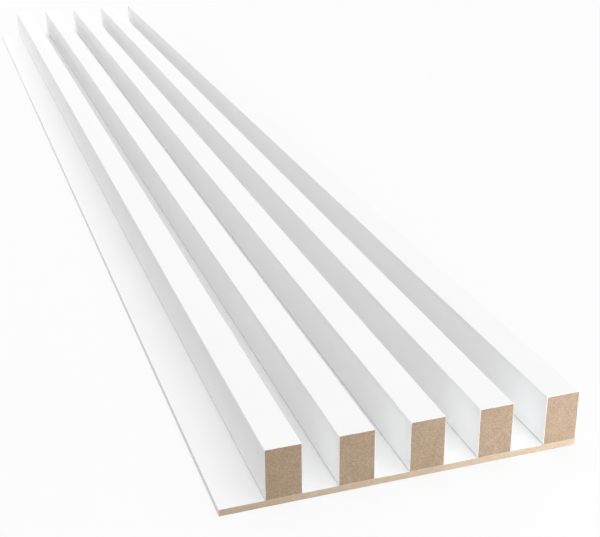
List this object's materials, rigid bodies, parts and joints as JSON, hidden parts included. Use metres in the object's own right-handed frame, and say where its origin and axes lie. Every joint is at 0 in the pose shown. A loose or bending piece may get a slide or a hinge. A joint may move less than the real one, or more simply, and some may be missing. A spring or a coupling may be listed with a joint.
{
  "type": "slatted acoustic wall panel",
  "caption": "Long slatted wall panel: square white film-wrapped MDF slats stand in a row on a thin white-faced MDF board, with a bare margin along one edge and sawn brown ends.",
  "frame": {"origin": "centre of the back face, the face of the board that goes against the wall", "axes": "+X across the slats, from the bare margin towards the flush edge; +Y along the slats; +Z out of the wall, from the board's back to the slats' faces"},
  "size_m": [0.307, 1.83, 0.051],
  "materials": {
    "slat_mdf": "raw sawn medium-density fibreboard, fine fibre speckle, matt",
    "board_mdf": "raw sawn thin fibreboard, a shade paler than the slats, matt",
    "white_film": "smooth matt white decor film"
  },
  "bodies": {
    "root": {"back_board": "board_mdf", "board_film": "white_film", "slat_core_1": "slat_mdf", "slat_core_2": "slat_mdf", "slat_core_3": "slat_mdf", "slat_core_4": "slat_mdf", "slat_core_5": "slat_mdf", "slat_film_1": "white_film", "slat_film_2": "white_film", "slat_film_3": "white_film", "slat_film_4": "white_film", "slat_film_5": "white_film"}
  },
  "joints": []
}
